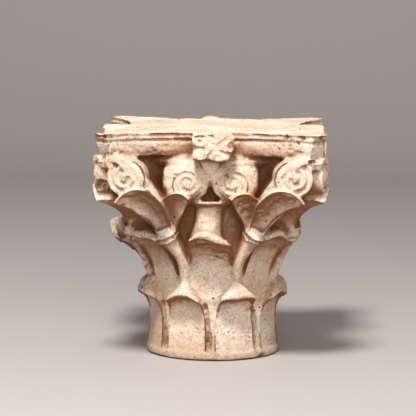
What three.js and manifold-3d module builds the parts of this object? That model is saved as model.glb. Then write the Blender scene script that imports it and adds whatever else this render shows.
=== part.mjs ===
// A worn Corinthian capital carved from one block of limestone, in millimetres, +Z up.
// Its front faces -Y. The origin is the middle of the lower bed, on which it stands.
import * as THREE from 'three';
import { mergeVertices } from 'three/addons/utils/BufferGeometryUtils.js';
import Module from 'manifold-3d';

// Bell
const bellHeight = 400;
const baseRadius = 133;
const baseBand = 15;
const neckRadius = 120;
const rimRadius = 168;

// Abacus
const abacusHeight = 50;
const abacusReach = 223;
const hornCut = 28;
const sideHollow = 55;

// Leaves of the lower row
const lowerFace = 131;
const lowerTip = 131;
const lowerReach = 156;
const lowerLipRadius = 9;
const lowerFootHalfWidth = 44;
const lowerLipHalfWidth = 37;
const lowerScoop = 5;
const lowerCrest = 165;

// Leaves of the upper row, and how far each one still reaches, from the front leaf on to the right
const upperFace = 128;
const upperTip = 249;
const upperReaches = [192, 187, 178, 198, 203, 200, 207, 198];
const upperLipRadius = 11;
const upperHalfWidth = 40;
const upperScoop = 14;
const upperRoot = 22;
const upperCrest = 285;
const stemHalfWidth = 13;
const stemLean = 6;

// Stalks, with the double ring that each one carries
const stalkFoot = new THREE.Vector3(47, -113, 146);
const stalkBend = new THREE.Vector3(56, -133, 198);
const stalkCollar = new THREE.Vector3(82, -150, 246);
const stalkRadius = 18;
const collarRadius = 24;

// Calyx leaves: the tall one under each volute, and the small one under each helix
const cornerCalyx = { lip: 345, halfWidth: 47, lean: 50, reach: 85 };
const innerCalyx = { lip: 335, halfWidth: 27, lean: -21, reach: 44 };
const calyxFootHalfWidth = 15;

// Corner volutes, and the web that joins the two of each corner
const voluteRadius = 38;
const voluteReach = 226;
const voluteSide = 160;
const voluteDrop = 36;
const voluteDepth = 62;
const voluteStem = 35;
const webReach = 288;
const webHalfWidth = 44;

// Helices, the inner spirals, and the broad scroll behind each of them
const helixRadius = 30;
const helixReach = 189;
const helixDrop = 49;
const helixDepth = 44;
const scrollHalfWidth = 43;
const scrollHalfHeight = 36;

// Rosettes, and the cup that stands under each of them
const rosetteReach = 222;
const rosetteHalfWidth = 43;
const rosetteHalfHeight = 30;
const rosetteShift = 5;
const cupReach = 147;
const cupRadius = 28;
const cupFlare = 43;
const cupTop = 312;
const cupFoot = 236;
const cupLean = 10;

// The finest cut that is left in the worn stone
const finestCut = 5;

const wasm = await Module();
wasm.setup();

const radians = THREE.MathUtils.degToRad;
const mix = THREE.MathUtils.lerp;

function point(x, y, z) {
  return new THREE.Vector3(x, y, z);
}

// A place by its angle to the right of the front, its distance from the axis and its height
function around(angle, radius, z) {
  return point(radius * Math.sin(angle), -radius * Math.cos(angle), z);
}

// Puts the triangles of a closed mesh the right way round
function facingOut(geometry) {
  const place = geometry.attributes.position;
  const index = geometry.index.array;
  const [a, b, c] = [point(), point(), point()];
  let volume = 0;
  for (let i = 0; i < index.length; i += 3) {
    a.fromBufferAttribute(place, index[i]);
    b.fromBufferAttribute(place, index[i + 1]);
    c.fromBufferAttribute(place, index[i + 2]);
    volume += a.dot(b.cross(c));
  }
  if (volume < 0) {
    for (let i = 0; i < index.length; i += 3) {
      [index[i], index[i + 1]] = [index[i + 1], index[i]];
    }
  }
  return geometry;
}

function closed(geometry) {
  geometry.deleteAttribute('normal');
  geometry.deleteAttribute('uv');
  return facingOut(mergeVertices(geometry, 0.001));
}

function toSolid(geometry) {
  const vertProperties = new Float32Array(geometry.attributes.position.array);
  const triVerts = new Uint32Array(geometry.index.array);
  return new wasm.Manifold(new wasm.Mesh({ numProp: 3, vertProperties, triVerts }));
}

// Triangles that close a flat loop
function capFaces(loop) {
  const normal = point(0, 0, 0);
  loop.forEach((p, i) => {
    const q = loop[(i + 1) % loop.length];
    normal.x += (p.y - q.y) * (p.z + q.z);
    normal.y += (p.z - q.z) * (p.x + q.x);
    normal.z += (p.x - q.x) * (p.y + q.y);
  });
  const level = new THREE.Quaternion().setFromUnitVectors(normal.normalize(), point(0, 0, 1));
  const flat = loop.map((p) => {
    const q = p.clone().applyQuaternion(level);
    return new THREE.Vector2(q.x, q.y);
  });
  return THREE.ShapeUtils.triangulateShape(flat, []);
}

// A closed body through loops that all have the same number of points
function loft(loops) {
  const count = loops[0].length;
  const positions = loops.flat().flatMap((p) => [p.x, p.y, p.z]);
  const index = [];
  for (let k = 0; k + 1 < loops.length; k += 1) {
    for (let i = 0; i < count; i += 1) {
      const a = k * count + i;
      const b = k * count + (i + 1) % count;
      index.push(a, b, a + count, b, b + count, a + count);
    }
  }
  for (const [a, b, c] of capFaces(loops[0])) {
    index.push(a, c, b);
  }
  const last = (loops.length - 1) * count;
  for (const [a, b, c] of capFaces(loops.at(-1))) {
    index.push(last + a, last + b, last + c);
  }
  const geometry = new THREE.BufferGeometry();
  geometry.setAttribute('position', new THREE.Float32BufferAttribute(positions, 3));
  geometry.setIndex(index);
  return closed(geometry);
}

// A copy of a body turned about the axis, and first mirrored left to right if asked
function placed(geometry, angle, mirrored = false) {
  const copy = geometry.clone();
  if (mirrored) {
    copy.applyMatrix4(new THREE.Matrix4().makeScale(-1, 1, 1));
  }
  copy.applyMatrix4(new THREE.Matrix4().makeRotationZ(angle));
  return facingOut(copy);
}

function spread(from, to, steps) {
  return Array.from({ length: steps + 1 }, (_, i) => mix(from, to, i / steps));
}

// Angles of the corners of a ring, in radians
function turns(sides) {
  return spread(0, 2 * Math.PI, sides).slice(0, sides);
}

// The value at x of a line of straight stretches between [x, value] stops
function along(x, stops) {
  const next = Math.max(1, stops.findIndex(([at]) => at >= x));
  const [[x0, v0], [x1, v1]] = x > stops.at(-1)[0] ? stops.slice(-2) : stops.slice(next - 1, next + 1);
  return mix(v0, v1, THREE.MathUtils.clamp((x - x0) / (x1 - x0), 0, 1));
}

// Points of an arc in the plane of a side profile, given in degrees
function arcPoints(x, y, radius, from, to, steps) {
  return spread(from, to, steps).map((turn) => new THREE.Vector2(
    x + radius * Math.cos(radians(turn)),
    y + radius * Math.sin(radians(turn)),
  ));
}

function curvePoints(corners, steps) {
  const [a, b, c, d] = corners.map(([x, y]) => new THREE.Vector2(x, y));
  return new THREE.CubicBezierCurve(a, b, c, d).getPoints(steps);
}

// The bell: a drum at the foot, a neck that opens upwards, and a rounded rim under the abacus
function bell() {
  const edge = baseBand / 3;
  const foot = [[0, 0], [baseRadius - edge, 0], [baseRadius, edge], [baseRadius, baseBand - edge]];
  const neck = curvePoints([
    [neckRadius, baseBand + edge],
    [neckRadius * 0.93, bellHeight * 0.45],
    [neckRadius * 1.02, bellHeight * 0.7],
    [rimRadius * 0.94, bellHeight * 0.945],
  ], 4);
  const rimRound = rimRadius * 0.05;
  const rim = arcPoints(rimRadius - rimRound, bellHeight - rimRound, rimRound, -60, 90, 2);
  const profile = [
    ...foot.map(([x, y]) => new THREE.Vector2(x, y)),
    ...neck,
    ...rim,
    new THREE.Vector2(0, bellHeight),
  ];
  return closed(new THREE.LatheGeometry(profile, 20).rotateX(Math.PI / 2));
}

// A leaf is a row of side profiles from its one edge to the other, wrapped round the bell. Each
// profile runs up the face, round the lip and back along the top. The face is hollow between its
// rims, and the lip falls towards them. The side walls run back to thin flat ends in the bell.
function leaf({ angle, face, lip, top, halfWidth, topWidth, coreHalfWidth, scoop, droop, lean }) {
  const core = neckRadius * 0.8;
  const crossings = [-1, -0.8, -0.3, 0.3, 0.8, 1];
  const profiles = crossings.map((across) => {
    const sag = Math.abs(across) ** 2.4;
    const rim = Math.abs(across) ** 3.6;
    const loop = [];
    face.forEach((p, i) => {
      const share = i / (face.length - 1);
      const hollow = scoop * (1 - rim) * along(share, [[0, 0.1], [0.4, 0.4], [0.6, 0.8], [0.85, 1], [1, 0.6]]);
      loop.push({ r: p.x - hollow, z: p.y - droop * sag * share ** 3, w: halfWidth(p.y) });
    });
    lip.forEach((p) => {
      loop.push({ r: p.x - 0.8 * droop * sag, z: p.y - droop * sag, w: halfWidth(p.y) });
    });
    top.forEach((p, i) => {
      const share = (i + 1) / top.length;
      const r = p.x - 0.8 * droop * sag * (1 - share);
      loop.push({ r, z: p.y - droop * sag, w: topWidth(share) });
    });
    loop.push({ r: core, z: loop.at(-1).z, w: coreHalfWidth });
    loop.push({ r: core, z: loop[0].z, w: loop[0].w });
    return loop;
  });
  const loops = profiles.map((loop, k) => loop.map(
    ({ r, z, w }) => around(angle + (crossings[k] * w + lean(z)) / r, r, z)));
  const sideEnd = (loop, side) => loop.map(
    ({ r, z }) => around(angle + side * coreHalfWidth / core, mix(core, r, 0.1) - core * 0.1, z));
  return loft([sideEnd(profiles[0], -1), ...loops, sideEnd(profiles.at(-1), 1)]);
}

function lowerLeaf(angle) {
  const lip = arcPoints(lowerReach - lowerLipRadius, lowerTip, lowerLipRadius, -75, 62, 2);
  const underLip = new THREE.Vector2(lip[0].x - lowerLipRadius * 0.5, lip[0].y);
  const face = [
    new THREE.Vector2(lowerFace, baseBand * 0.05),
    new THREE.Vector2(lowerFace * 0.98, lowerTip * 0.4),
    new THREE.Vector2(lowerFace * 0.98, lowerTip * 0.62),
    new THREE.Vector2(lowerFace * 1.025, lowerTip * 0.8),
    underLip,
  ];
  const top = curvePoints([
    [lip.at(-1).x, lip.at(-1).y],
    [lip.at(-1).x * 0.95, mix(lowerTip, lowerCrest, 0.47)],
    [neckRadius * 1.12, mix(lowerTip, lowerCrest, 0.7)],
    [neckRadius, lowerCrest],
  ], 2).slice(1);
  return leaf({
    angle, face, lip, top,
    halfWidth: (z) => mix(lowerFootHalfWidth, lowerLipHalfWidth, Math.min(1, z / lowerTip) ** 1.3),
    topWidth: (share) => lowerLipHalfWidth * mix(1, 0.1, share),
    scoop: lowerScoop,
    droop: lowerLipRadius * 0.9,
    coreHalfWidth: lowerLipHalfWidth * 0.9,
    lean: () => 0,
  });
}

function upperLeaf(angle, reach) {
  const lip = arcPoints(reach - upperLipRadius, upperTip, upperLipRadius, -78, 66, 3);
  const underLip = new THREE.Vector2(lip[0].x - upperLipRadius * 0.4, lip[0].y);
  const face = [0, 0.3, 0.56, 0.79, 1].map((share) => new THREE.Vector2(
    mix(upperFace, underLip.x, share ** 2.4),
    mix(lowerTip * 0.89, underLip.y, share),
  ));
  face.unshift(
    new THREE.Vector2(upperFace * 0.97, upperRoot),
    new THREE.Vector2(upperFace * 0.98, lowerTip * 0.62),
    new THREE.Vector2(upperFace * 0.98, lowerTip * 0.82),
  );
  const top = curvePoints([
    [lip.at(-1).x, lip.at(-1).y],
    [lip.at(-1).x - upperLipRadius, mix(upperTip, upperCrest, 0.42)],
    [mix(neckRadius, reach, 0.5), mix(upperTip, upperCrest, 0.56)],
    [neckRadius, upperCrest],
  ], 2).slice(1);
  return leaf({
    angle, face, lip, top,
    halfWidth: (z) => along(z / lowerTip, [
      [upperRoot / lowerTip, stemHalfWidth * 0.3],
      [0.3, stemHalfWidth * 0.48],
      [0.62, stemHalfWidth * 0.5],
      [0.82, stemHalfWidth],
      [0.89, upperHalfWidth],
    ]),
    topWidth: (share) => upperHalfWidth * mix(1, 0.6, share ** 0.7),
    scoop: upperScoop,
    droop: upperLipRadius * 0.7,
    coreHalfWidth: upperHalfWidth * 0.45,
    lean: (z) => stemLean * (1 - THREE.MathUtils.smoothstep(z, lowerTip * 0.76, lowerCrest)),
  });
}

// A round tube along a path, with a radius for each stop; backing draws out its inner half
function tube(stops, sides, backing = 1) {
  const loops = stops.map(({ at, radius }, i) => {
    const before = stops[Math.max(0, i - 1)].at;
    const after = stops[Math.min(stops.length - 1, i + 1)].at;
    const way = after.clone().sub(before).normalize();
    const outward = point(at.x, at.y, 0).normalize();
    outward.addScaledVector(way, -outward.dot(way)).normalize();
    const side = way.clone().cross(outward);
    return turns(sides).map((turn) => {
      const out = radius * Math.sin(turn) * (Math.sin(turn) < -0.01 ? backing : 1);
      return at.clone().addScaledVector(side, radius * Math.cos(turn)).addScaledVector(outward, out);
    });
  });
  return loft(loops);
}

function stalk() {
  const end = stalkCollar.clone().add(stalkCollar.clone().sub(stalkBend).multiplyScalar(0.4));
  const path = new THREE.CatmullRomCurve3([stalkFoot, stalkBend, stalkCollar, end]);
  const stops = [
    [0, 0.66], [0.33, 0.72], [0.56, 1], [0.6, collarRadius / stalkRadius],
    [0.74, collarRadius / stalkRadius], [0.78, 1.05], [1, 1],
  ];
  return tube(stops.map(([share, thickness]) => ({
    at: path.getPoint(share),
    radius: stalkRadius * thickness,
  })), 7, 2.4);
}

// A calyx leaf opens from the collar of its stalk up to an arched lip, and its face is hollow.
// Its side profile is given as shares of its reach and its height, and it leans sideways.
function calyxLeaf({ lip, halfWidth, lean, reach }, { arch, flare, turn, steps }) {
  const rise = lip - stalkCollar.z;
  const profile = [
    [0.18, 0, 0], [0.3, 0.4, 0.12], [0.62, 0.74, 0.16], [0.95, 0.93, 0.04],
    [0.98, 1.0, 0], [0.6, 1.05, 0], [-0.4, 1.0, 0], [-0.42, 0, 0],
  ];
  const loops = spread(-1, 1, steps).map((across) => profile.map(([out, up, hollow]) => {
    const sag = across * across;
    const share = Math.min(1, up);
    const sideways = across * mix(calyxFootHalfWidth, halfWidth, share ** flare) + lean * share ** 1.25;
    const forward = reach * (out * (1 - 0.12 * sag * share) - hollow * (1 - sag));
    const turned = point(sideways, -forward, 0).applyAxisAngle(point(0, 0, 1), radians(turn));
    const height = stalkCollar.z + rise * (up - arch * sag * share ** 2);
    return point(stalkCollar.x + turned.x, stalkCollar.y + turned.y, height);
  }));
  return loft(loops);
}

// A round end of a scroll with its face towards -Y: a rim, a groove and a low eye
function spiralDisc(radius, depth) {
  const profile = [
    [0, depth], [radius, depth], [radius, radius * 0.1], [radius * 0.86, 0],
    [radius * 0.58, radius * 0.1], [radius * 0.42, 0], [0, -radius * 0.05],
  ].map(([x, y]) => new THREE.Vector2(x, y));
  return closed(new THREE.LatheGeometry(profile, 10));
}

// A band of four-sided section along a path: wide from front to back, thin across
function band(stops) {
  const loops = stops.map(({ at, thick, deep }, i) => {
    const before = stops[Math.max(0, i - 1)].at;
    const after = stops[Math.min(stops.length - 1, i + 1)].at;
    const way = after.clone().sub(before).normalize();
    const across = point(-way.z, 0, way.x).normalize().multiplyScalar(thick / 2);
    const back = point(0, deep, 0);
    return [
      at.clone().add(across),
      at.clone().sub(across),
      at.clone().sub(across).add(back),
      at.clone().add(across).add(back),
    ];
  });
  return loft(loops);
}

// The stem of a volute rises from the collar and rolls over the top of its disc. The stops are
// shares of the way from the one to the other, and of the thickness and the depth.
function cornerVolute() {
  const z = bellHeight - voluteDrop;
  const disc = spiralDisc(voluteRadius, voluteDepth);
  disc.rotateZ(radians(8));
  disc.translate(voluteSide, -voluteReach, z);
  const end = point(voluteSide, -voluteReach, z + voluteRadius * 0.8);
  const stops = [
    [0.1, 0.2, 0.28, 0.7, 0.8], [0.24, 0.46, 0.46, 0.86, 0.9], [0.52, 0.74, 0.64, 1, 1],
    [0.73, 0.9, 0.78, 1, 1], [0.9, 0.97, 0.92, 0.8, 1], [1.1, 0.97, 1, 0.6, 0.9],
  ];
  const stem = band(stops.map(([x, y, up, thickness, depth]) => ({
    at: point(mix(stalkCollar.x, end.x, x), mix(stalkCollar.y, end.y, y), mix(stalkCollar.z, end.z, up)),
    thick: voluteStem * thickness,
    deep: voluteDepth * depth,
  })));
  return [disc, stem];
}

// The web on the diagonal that joins the two volutes of a corner below the horn. The stops are
// shares of its reach, of its half width and of the height of the bell.
function cornerWeb() {
  const stops = [[0.38, 0.7, 0.7], [0.75, 1, 0.77], [0.88, 0.6, 0.88], [1, 0.34, 0.94]];
  const loops = stops.map(([out, width, bottom]) => {
    const [r, half] = [webReach * out, webHalfWidth * width];
    return [
      point(-half, -r, bellHeight * bottom), point(half, -r, bellHeight * bottom),
      point(half, -r, bellHeight), point(-half, -r, bellHeight),
    ].map((p) => p.applyAxisAngle(point(0, 0, 1), Math.PI / 4));
  });
  return loft(loops);
}

// A helix is a small disc on the broad scroll that fills the space below the rim of the bell
function helix() {
  const z = bellHeight - helixDrop;
  const disc = spiralDisc(helixRadius, helixDepth);
  disc.translate(scrollHalfWidth, -helixReach, z);
  const rings = [[helixDepth, 1], [helixDepth * 0.3, 1], [helixDepth * 0.1, 0.8]];
  const loops = rings.map(([back, share]) => turns(10).map((turn) => {
    const blunt = Math.cos(turn) > 0 && Math.sin(turn) > 0 ? 0.5 : 0.85;
    const soft = (value) => Math.sign(value) * Math.abs(value) ** blunt;
    return point(
      scrollHalfWidth + scrollHalfWidth * share * soft(Math.cos(turn)),
      back - helixReach,
      z + scrollHalfHeight * share * soft(Math.sin(turn)),
    );
  }));
  return [disc, loft(loops)];
}

// The flaring cup in the middle of each side, and the knot above it where the helices meet
function cup() {
  const stops = [[0, 1.1], [0.35, 1], [0.85, 1.05], [0.92, cupFlare / cupRadius], [1, cupFlare / cupRadius]];
  return tube(stops.map(([share, width]) => ({
    at: point(-cupLean * (1 - share), -cupReach, mix(cupFoot, cupTop, share)),
    radius: cupRadius * width,
  })), 10);
}

// Its stops are shares of the width of the rosette, and of the way up from the helices
function knot() {
  const start = bellHeight - helixDrop;
  const stops = [[0.1, 0, 0.8], [0.3, 0.3, 0.83], [0.6, 0.75, 0.86], [0.7, 1.1, 0.9]];
  return band(stops.map(([width, up, out]) => ({
    at: point(0, -rosetteReach * out, mix(start, bellHeight, up)),
    thick: 2 * rosetteHalfWidth * width,
    deep: helixDepth,
  })));
}

// A rosette: five petals round a sunk eye. The rings are shares of its reach and of its size.
function rosette() {
  const petals = 5;
  const rings = [[0.66, 0.94], [0.94, 1], [1, 0.78], [0.98, 0.4], [1, 0.2]];
  const loops = rings.map(([out, share]) => turns(15).map((turn) => {
    const lobe = share * (1 + 0.06 * Math.cos(turn * petals + 1.2));
    return point(
      rosetteShift + rosetteHalfWidth * lobe * Math.cos(turn),
      -rosetteReach * out,
      bellHeight + abacusHeight * 0.44 + rosetteHalfHeight * lobe * Math.sin(turn),
    );
  }));
  return loft(loops);
}

// The outline of the abacus: four hollow sides between four horns with cut corners
function abacusOutline(inset) {
  const reach = abacusReach - inset;
  const half = reach - hornCut + inset * 0.4;
  const radius = (half * half + sideHollow * sideHollow) / (2 * sideHollow);
  const swing = Math.asin(half / radius);
  const outline = [];
  for (let side = 0; side < 4; side += 1) {
    for (const turn of spread(-swing, swing, 6)) {
      const sunk = radius * (Math.cos(turn) - Math.cos(swing));
      const p = point(radius * Math.sin(turn), sunk - reach, 0);
      outline.push(p.applyAxisAngle(point(0, 0, 1), side * Math.PI / 2));
    }
  }
  return outline;
}

// The moulding round it, as shares of the height: a plain band, a groove, a fillet, a groove
// and a rounded top edge
function abacus() {
  const moulding = [
    [0, 0.28], [0.16, 0.18], [0.58, 0.06], [0.63, 0.15], [0.68, 0.02],
    [0.8, 0.02], [0.84, 0.1], [0.88, 0], [1, 0.04],
  ];
  return loft(moulding.map(([up, inset]) => abacusOutline(abacusHeight * inset).map(
    (p) => point(p.x, p.y, bellHeight + abacusHeight * up))));
}

// Broken places, each one a rough lump taken away. They are given as shares of the abacus: its
// reach sideways and in depth, and its top in height.
const chips = [
  { at: [-0.96, -0.95, 1.005], size: [0.09, 0.1, 0.022] },
  { at: [-1.0, -0.92, 0.905], size: [0.05, 0.07, 0.03] },
  { at: [0.17, -0.87, 0.555], size: [0.065, 0.065, 0.032] },
  { at: [-0.03, -1.0, 0.985], size: [0.085, 0.06, 0.02] },
  { at: [0.87, -1.01, 0.882], size: [0.055, 0.09, 0.01] },
  { at: [-0.93, -0.88, 0.765], size: [0.075, 0.09, 0.028] },
  { at: [-0.52, -1.0, 0.74], size: [0.025, 0.06, 0.018] },
  { at: [0.47, -0.39, 0], size: [0.05, 0.05, 0.02] },
];

function chip({ at, size }) {
  const top = bellHeight + abacusHeight;
  const lump = new THREE.IcosahedronGeometry(1, 1);
  lump.scale(size[0] * abacusReach, size[1] * abacusReach, size[2] * top);
  lump.translate(at[0] * abacusReach, at[1] * abacusReach, at[2] * top);
  return closed(lump);
}

const bodies = [bell(), abacus()];
for (let k = 0; k < 8; k += 1) {
  const angle = k * Math.PI / 4;
  bodies.push(lowerLeaf(angle + Math.PI / 8));
  bodies.push(upperLeaf(angle, upperReaches[k]));
}
const paired = [
  stalk(),
  calyxLeaf(cornerCalyx, { arch: 0.3, flare: 1.9, turn: 4, steps: 4 }),
  calyxLeaf(innerCalyx, { arch: 0.17, flare: 2.6, turn: 4, steps: 3 }),
  ...cornerVolute(),
  ...helix(),
];
for (let side = 0; side < 4; side += 1) {
  const angle = side * Math.PI / 2;
  for (const body of paired) {
    bodies.push(placed(body, angle), placed(body, angle, true));
  }
  for (const body of [cornerWeb(), cup(), knot(), rosette()]) {
    bodies.push(placed(body, angle));
  }
}

let stone = toSolid(bodies[0]);
for (const body of bodies.slice(1)) {
  stone = stone.add(toSolid(body));
}
for (const place of chips) {
  stone = stone.subtract(toSolid(chip(place)));
}

// The joins leave slivers. This draws together the two ends of each edge that is shorter than the
// finest cut, as long as the surface stays closed and no face beside it turns over.
function withoutShortEdges({ vertProperties, triVerts }) {
  const places = [];
  for (let i = 0; i < vertProperties.length; i += 3) {
    places.push(point(...vertProperties.slice(i, i + 3)));
  }
  const faces = [];
  for (let i = 0; i < triVerts.length; i += 3) {
    faces.push([...triVerts.slice(i, i + 3)]);
  }
  const facesAt = places.map(() => new Set());
  faces.forEach((face, f) => face.forEach((v) => facesAt[v].add(f)));

  const neighbours = (v) => new Set([...facesAt[v]].flatMap((f) => faces[f]).filter((w) => w !== v));
  const areaVector = ([a, b, c]) => b.clone().sub(a).cross(c.clone().sub(a)).multiplyScalar(0.5);
  const staysTurned = (v, other, target) => [...facesAt[v]].every((f) => {
    if (faces[f].includes(other)) {
      return true;
    }
    const before = areaVector(faces[f].map((w) => places[w]));
    const after = areaVector(faces[f].map((w) => (w === v ? target : places[w])));
    const size = after.length();
    return size > 0.02 && after.dot(before) > 0.6 * size * before.length();
  });
  const isOnBed = (v) => places[v].z < 0.01 || places[v].z > bellHeight + abacusHeight - 0.01;

  const draw = (v, other) => {
    if (places[v].distanceTo(places[other]) > finestCut) {
      return false;
    }
    const beyond = neighbours(other);
    const shared = [...neighbours(v)].filter((w) => beyond.has(w));
    const target = places[v].clone().lerp(places[other], 0.5);
    if (isOnBed(v) !== isOnBed(other)) {
      target.copy(isOnBed(v) ? places[v] : places[other]);
    }
    if (shared.length !== 2 || !staysTurned(v, other, target) || !staysTurned(other, v, target)) {
      return false;
    }
    for (const f of [...facesAt[other]]) {
      if (faces[f].includes(v)) {
        faces[f].forEach((w) => facesAt[w].delete(f));
        faces[f] = null;
      } else {
        faces[f] = faces[f].map((w) => (w === other ? v : w));
        facesAt[v].add(f);
      }
    }
    facesAt[other].clear();
    places[v].copy(target);
    return true;
  };

  let drawn = true;
  while (drawn) {
    drawn = false;
    for (let f = 0; f < faces.length; f += 1) {
      for (let i = 0; i < 3 && faces[f]; i += 1) {
        drawn = draw(faces[f][i], faces[f][(i + 1) % 3]) || drawn;
      }
    }
  }

  // What is left of a crumb is two faces that lie flat on each other, and these go too
  const corners = (face) => [...face].sort((a, b) => a - b).join();
  const seen = {};
  faces.filter((face) => face).forEach((face) => {
    seen[corners(face)] = (seen[corners(face)] ?? 0) + 1;
  });
  const kept = faces.filter((face) => face && seen[corners(face)] === 1);
  const geometry = new THREE.BufferGeometry().setFromPoints(places);
  geometry.setIndex(kept.flat());
  return mergeVertices(geometry, 0.001);
}

// Flat beds: whatever would stand above the top or below the foot is cut away
const spare = 100;
for (const z of [bellHeight + abacusHeight + spare / 2, -spare / 2]) {
  const block = new THREE.BoxGeometry(3 * abacusReach, 3 * abacusReach, spare);
  stone = stone.subtract(toSolid(closed(block.translate(0, 0, z))));
}

const geometry = withoutShortEdges(stone.getMesh());
geometry.computeVertexNormals();

const limestone = new THREE.MeshStandardMaterial({ color: 0xd9c4a8, roughness: 0.95, metalness: 0 });
const capital = new THREE.Mesh(geometry, limestone);
capital.name = 'capital';

const model = new THREE.Group();
model.add(capital);

export default model;
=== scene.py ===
import math

import bmesh
import bpy
import numpy as np
from mathutils import Matrix, Vector, noise


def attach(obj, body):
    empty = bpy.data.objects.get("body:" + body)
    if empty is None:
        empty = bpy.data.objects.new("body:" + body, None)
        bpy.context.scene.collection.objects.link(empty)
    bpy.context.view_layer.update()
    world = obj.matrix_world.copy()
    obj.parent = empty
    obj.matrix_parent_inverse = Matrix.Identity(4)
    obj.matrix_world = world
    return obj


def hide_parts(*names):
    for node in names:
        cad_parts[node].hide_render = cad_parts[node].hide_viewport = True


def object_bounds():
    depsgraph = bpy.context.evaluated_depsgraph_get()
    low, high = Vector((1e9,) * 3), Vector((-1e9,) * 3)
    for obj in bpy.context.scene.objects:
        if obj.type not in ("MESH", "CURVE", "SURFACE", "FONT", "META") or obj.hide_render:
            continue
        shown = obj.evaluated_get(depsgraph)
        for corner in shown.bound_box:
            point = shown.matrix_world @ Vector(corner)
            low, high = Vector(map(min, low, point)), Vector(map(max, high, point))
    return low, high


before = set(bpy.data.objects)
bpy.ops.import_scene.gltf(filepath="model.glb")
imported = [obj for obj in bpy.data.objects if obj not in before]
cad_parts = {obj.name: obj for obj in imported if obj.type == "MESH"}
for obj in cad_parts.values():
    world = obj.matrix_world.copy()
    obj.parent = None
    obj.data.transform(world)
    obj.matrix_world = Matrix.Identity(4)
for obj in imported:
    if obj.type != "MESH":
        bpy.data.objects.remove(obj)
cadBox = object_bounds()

# A worn Corinthian capital of limestone. Shapes are worked out in millimetres, objects are in metres.
# The front faces -Y, angles count from the front towards +X, and the lower bed lies on Z = 0.

millimetre = 0.001
overlap = 2   # how deep bodies reach into each other where they join

bell = {
    "height": 400, "baseRadius": 133, "neckRadius": 120, "rimRadius": 181, "edge": 5, "lip": 8,
    # how far the face stands out from the neck, and at what height
    "face": [(-9, 24), (-11, 90), (-4, 150), (11, 220), (20, 300)],
}
abacus = {
    "height": 50, "reach": 223, "hornCut": 28, "sideHollow": 55,
    # (height, how far it stands back) from the underside up, for an abacus 50 high
    "underside": [(0, 15), (1.5, 12)],
    "mouldings": [
        (8, 9), (16, 6.2), (24, 4.2), (28.5, 3.4), (29.5, 3.8), (31, 6.2), (32.6, 6.4), (34, 3),
        (35, 1.4), (38, 0.8), (40, 1.2), (40.8, 4.4), (42.2, 4.8), (43.4, 1.5), (44.6, 0.2),
        (47.5, 0.2), (49.2, 1.2), (50, 3),
    ],
}
stone = {
    "voxel": 1.6,
    "smoothing": 1,
    "margin": 1e-5,   # metres kept inside the CAD box
    "triangles": 196000,
    "seed": 7,
}


# plain helpers

def mix(a, b, share):
    return a + (b - a) * share


def smoothStep(x, low, high):
    t = np.clip((np.asarray(x, float) - low) / (high - low), 0, 1)
    return t * t * (3 - 2 * t)


def along(x, stops):
    # straight stretches between (x, value) stops
    xs, values = zip(*stops)
    return np.interp(x, xs, values)


def around(angle, radius, z):
    angle, radius, z = np.broadcast_arrays(*(np.asarray(v, float) for v in (angle, radius, z)))
    return np.stack([radius * np.sin(angle), -radius * np.cos(angle), z], axis=-1)


def turned(points, degrees):
    a = math.radians(degrees)
    x, y = points[..., 0], points[..., 1]
    out = np.array(points, float)
    out[..., 0] = x * math.cos(a) - y * math.sin(a)
    out[..., 1] = x * math.sin(a) + y * math.cos(a)
    return out


def bezier(corners, steps):
    a, b, c, d = (np.array(p, float) for p in corners)
    t = np.linspace(0, 1, steps + 1)[:, None]
    return a * (1 - t) ** 3 + 3 * b * t * (1 - t) ** 2 + 3 * c * t * t * (1 - t) + d * t ** 3


def arc(centre, radius, start, end, steps):
    t = np.radians(np.linspace(start, end, steps + 1))
    return np.stack([centre[0] + radius * np.cos(t), centre[1] + radius * np.sin(t)], axis=-1)


def smoothPath(points, steps):
    # a smooth curve through points (Catmull-Rom), any number of columns
    p = np.array(points, float)
    p = np.vstack([2 * p[0] - p[1], p, 2 * p[-1] - p[-2]])
    rows = []
    for i in range(1, len(p) - 2):
        for t in np.linspace(0, 1, steps, endpoint=False):
            a, b, c, d = p[i - 1], p[i], p[i + 1], p[i + 2]
            rows.append(0.5 * (2 * b + (c - a) * t + (2 * a - 5 * b + 4 * c - d) * t * t
                               + (3 * b - a - 3 * c + d) * t ** 3))
    rows.append(p[-2])
    return np.array(rows)


# bodies: each one is (points, faces) of a closed mesh

def loft(loops):
    loops = np.asarray(loops, float)
    rows, count = loops.shape[:2]
    i = np.arange(count)
    j = (i + 1) % count
    start = np.arange(rows - 1)[:, None] * count
    quads = np.stack([start + i, start + j, start + j + count, start + i + count], axis=-1)
    faces = quads.reshape(-1, 4).tolist()
    faces.append(list(range(count))[::-1])
    faces.append(list(range((rows - 1) * count, rows * count)))
    return loops.reshape(-1, 3), faces


def makeObject(name, bodies):
    points, faces, offset = [], [], 0
    for bodyPoints, bodyFaces in bodies:
        points.append(np.asarray(bodyPoints) * millimetre)
        faces.extend([[v + offset for v in face] for face in bodyFaces])
        offset += len(bodyPoints)
    mesh = bpy.data.meshes.new(name)
    mesh.from_pydata(np.vstack(points).tolist(), [], faces)
    mesh.update()
    obj = bpy.data.objects.new(name, mesh)
    bpy.context.scene.collection.objects.link(obj)
    return obj


# bell

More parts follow.
